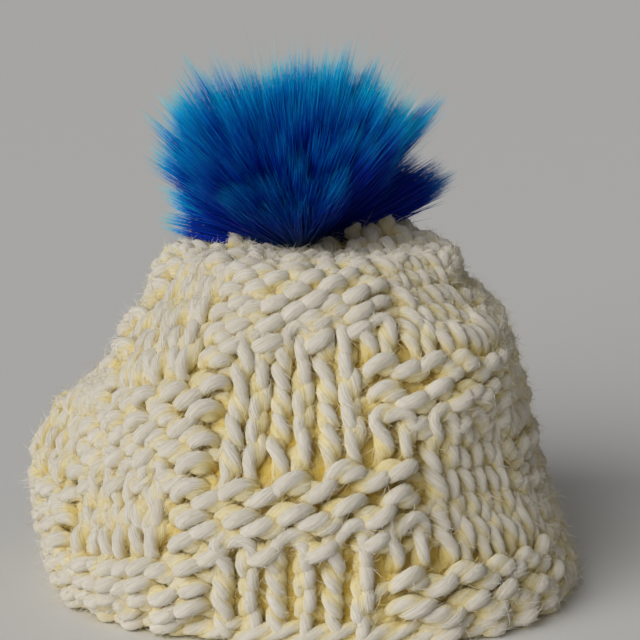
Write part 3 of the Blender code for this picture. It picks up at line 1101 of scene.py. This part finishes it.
def even_clumps(rng):
    """Clumps all over the dome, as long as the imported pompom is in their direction."""
    ways, reach = dome_ways(CLUMPS, rng)
    reach = reach * np.clip(rng.normal(*CLUMP_REACH, len(reach)), *CLUMP_REACH_LIMITS)
    # Painted backlight and shade: clumps at the outline are made lighter, and the tuft behind at the right
    # darker.
    outline = np.clip(CLUMP_PAINTED_BACKLIGHT[0] - CLUMP_PAINTED_BACKLIGHT[1] * np.abs(ways[:, 1]), 0.0, 1.0)
    tones = rng.uniform(*CLUMP_TONES, len(ways)) + PAINTED_BACKLIGHT_TONE * outline
    tones[(ways[:, 0] > FAR_RIGHT) & (ways[:, 1] > 0.0)] *= BEHIND_RIGHT_PAINTED_SHADE
    fan = np.degrees(np.arctan2(ways[:, 0], ways[:, 2]))
    reach = reach * along_table(FUR_STRETCHES, fan)
    return Clumps(ways, reach, np.full(len(ways), CLUMP_SPREAD), tones, np.full(len(ways), HAIRS_PER_CLUMP))


def lock_clumps():
    """The long pointed locks that break the outline."""
    fans, tilts, reaches, spreads, tones, counts = np.array(FUR_LOCKS).T
    fans, tilts = np.radians(fans), np.radians(tilts)
    ways = np.stack([np.sin(fans) * np.cos(tilts), np.sin(tilts), np.cos(fans) * np.cos(tilts)], axis=1)
    return Clumps(ways, reaches, spreads, tones, counts.astype(int))


def hair_steps(length, reach):
    """Even steps along hairs: the share of the hair, the distance out, and its share of the reach."""
    share = np.linspace(0.0, 1.0, HAIR_POINTS)
    reached = HAIR_START + (length - HAIR_START)[:, None] * share
    return share, reached, reached / reach[:, None]


def rooted(paths, part):
    """Hair paths moved from the origin to the pompom's root, and kept below the top of the fur."""
    paths = paths + fur_root() + np.array(ROOT_SHIFT) * np.clip(1 - part, 0, 1)[..., None]
    paths[..., 2] = np.minimum(paths[..., 2], FUR_TOP)
    return paths


def clump_hairs(clumps, rng):
    """The hairs of clumps: they start at the root, part on the way and meet again near the tip."""
    curl = across(clumps.ways, rng) * rng.uniform(0.0, CLUMP_CURL, (len(clumps.ways), 1))
    which = np.repeat(np.arange(len(clumps.ways)), clumps.counts)
    count = len(which)
    way, reach = clumps.ways[which], clumps.reaches[which]
    far = np.sqrt(rng.uniform(0.0, 1.0, count))
    aside = across(way, rng) * far[:, None]
    shorter = rng.uniform(0.0, HAIR_SHORTER_BY_CHANCE, count)
    length = reach * (HAIR_LONGEST - HAIR_SHORTER_ASIDE * far**1.5 - shorter)
    share, reached, part = hair_steps(length, reach)
    gather = HAIR_GATHER[0] * part * (1 - HAIR_GATHER[1] * part**2)
    bend = across(way, rng) * rng.normal(0.0, HAIR_BEND, (count, 1))
    paths = way[:, None] * reached[..., None]
    paths = paths + aside[:, None] * (clumps.spreads[which][:, None] * gather)[..., None]
    paths = paths + (curl[which] + bend)[:, None] * (part**2)[..., None]
    widths = FUR_WIDTH * (1 - HAIR_TAPER * share**3) * np.ones((count, 1))
    lighter = LIGHT_HAIR_TONE * rng.uniform(0, 1, count) ** 4
    tones = np.clip(TONE_SHARE * clumps.tones[which] + lighter, 0, 1)
    return Hairs(rooted(paths, part), widths, part, tones)


def loose_hairs(fur, rng):
    """Hairs that stand alone."""
    ways, reach = dome_ways(fur.count, rng)
    count = len(reach)
    highest = (FUR_TOP - fur_root()[2]) / ways[:, 2]
    length = np.minimum(reach * rng.uniform(fur.low, fur.high, count), highest)
    share, reached, part = hair_steps(length, reach)
    bend = across(ways, rng) * rng.normal(0.0, fur.wander, (count, 1))
    paths = ways[:, None] * reached[..., None] + bend[:, None] * (part**2)[..., None]
    widths = fur.width * (1 - share**2 * HAIR_TAPER) * np.ones((count, 1))
    # Painted backlight: loose hairs at the outline are lighter than those that point to the front or the
    # back.
    outline = np.clip(LOOSE_PAINTED_BACKLIGHT[0] - LOOSE_PAINTED_BACKLIGHT[1] * np.abs(ways[:, 1]), LOOSE_LEAST_TONE, 1.0)
    return Hairs(rooted(paths, part), widths, part, rng.uniform(*fur.tones, count) * outline)


def fur_material():
    """Blue fur, navy at the root and bright at the tips, in lighter and darker hairs, with painted backlight
    at the outline and painted shade on the tuft behind at the right.
    """
    material = plain_material("blue fur", (0.0, 0.03, 0.28), 0.45)
    nodes = material.node_tree.nodes
    shader = nodes["Principled BSDF"]
    share = attribute_node(nodes, "share")
    mix = mix_node(nodes, "MIX")
    for stops, side in ((FUR_DARK, "A"), (FUR_LIGHT, "B")):
        ramp = ramp_node(nodes, stops)
        link(share, "Fac", ramp, "Fac")
        link(ramp, "Color", mix, side)
    link(attribute_node(nodes, "tone"), "Fac", mix, "Factor")
    link(mix, "Result", shader, "Base Color")
    set_inputs(shader, {
        "Specular IOR Level": 0.15,
        "Sheen Weight": 0.35,
        "Sheen Roughness": 0.4,
        "Sheen Tint": (0.0, 0.4, 1.0, 1.0),
    })
    return material


def make_heart(material):
    """The dense dark heart of the pompom, hidden in the fur."""
    rings = np.linspace(0.0, 1.0, HEART_RINGS)
    turns, shares = np.meshgrid(np.arange(0, 360, HEART_TURN_STEP), rings, indexing="ij")
    lowest = along_table(FUR_EDGES, turns, period=360.0) + HEART_MARGIN
    lifts = np.radians(lowest + (HEART_TOP_LIFT - lowest) * shares)
    ways = round_axis(np.radians(turns), np.cos(lifts), np.sin(lifts))
    reach = fur_reaches(ways.reshape(-1, 3)).reshape(turns.shape)
    points = ways * (reach * HEART_REACH)[..., None] + fur_root()
    quads = grid_quads(*turns.shape).reshape(-1, 4)
    share, tone = np.full(turns.size, HEART_SHARE), np.full(turns.size, HEART_TONE)
    return mesh_object("fur_heart", points.reshape(-1, 3), quads, material, share=share, tone=tone)


def make_fur():
    """The pompom: its heart, the hair in clumps and locks, and the hairs that stand alone."""
    material = fur_material()
    rng = np.random.default_rng(FUR_SEED)
    hairs = clump_hairs(even_clumps(rng), rng)
    front = hairs.paths[:, -1, 1] < fur_root()[1]
    made = [make_heart(material)]
    for name, chosen in (("fur_front", front), ("fur_back", ~front)):
        side = Hairs(*(values[chosen] for values in hairs))
        made.append(hair_mesh(name, side, material, rng))
    made.append(hair_mesh("fur_locks", clump_hairs(lock_clumps(), rng), material, rng))
    return made + [hair_mesh(fur.name, loose_hairs(fur, rng), material, rng) for fur in LOOSE_FUR]


fur_pieces = make_fur()
for piece in fur_pieces:
    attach(piece, "root")
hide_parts("pompom")

# --- the stage: its floor in metres, its light's angle in degrees ---
FLOOR_SIZE = 60.0
FLOOR_COLOUR = (0.82, 0.81, 0.79)
SUN_FROM = (-0.58, -0.75, 0.5)
SUN_STRENGTH = 2.25
SUN_ANGLE = 50.0
SKY_STRENGTH = 0.15
SKY_COLOUR = (0.98, 0.97, 0.95, 1.0)


def make_stage():
    """A plain pale floor, a soft light from the upper left and a dim even sky."""
    bpy.ops.mesh.primitive_plane_add(size=FLOOR_SIZE)
    floor = bpy.context.object
    floor.name = "floor"
    floor.data.materials.append(plain_material("pale floor", FLOOR_COLOUR, 0.8))
    world = bpy.data.worlds.new("studio")
    bpy.context.scene.world = world
    world.use_nodes = True
    set_inputs(world.node_tree.nodes["Background"], {"Color": SKY_COLOUR, "Strength": SKY_STRENGTH})
    light = bpy.data.lights.new("window", "SUN")
    light.energy = SUN_STRENGTH
    light.angle = math.radians(SUN_ANGLE)
    lamp = add_object("window", light)
    lamp.rotation_euler = Vector(SUN_FROM).to_track_quat("Z", "Y").to_euler()


# --- the camera: its turn and lift in degrees, its distance and what it aims at in metres ---
CAMERA_TURN = 5.0
CAMERA_LIFT = 12.0
CAMERA_DISTANCE = 0.8
CAMERA_LENS = 119.5
AIM_HEIGHT = 0.098
AIM_RIGHT = 0.0077


def make_camera():
    """The camera at the photograph's viewing angle."""
    camera = bpy.data.cameras.new("camera")
    camera.lens = CAMERA_LENS
    turn, lift = math.radians(CAMERA_TURN), math.radians(CAMERA_LIFT)
    aim = Vector((0.0, 0.0, AIM_HEIGHT)) + Vector((math.cos(turn), math.sin(turn), 0.0)) * AIM_RIGHT
    way = way_at(turn, lift)
    eye = add_object("camera", camera)
    eye.location = aim + way * CAMERA_DISTANCE
    eye.rotation_euler = (-way).to_track_quat("-Z", "Y").to_euler()
    bpy.context.scene.camera = eye


make_stage()
make_camera()
bpy.context.scene.view_settings.view_transform = "Standard"
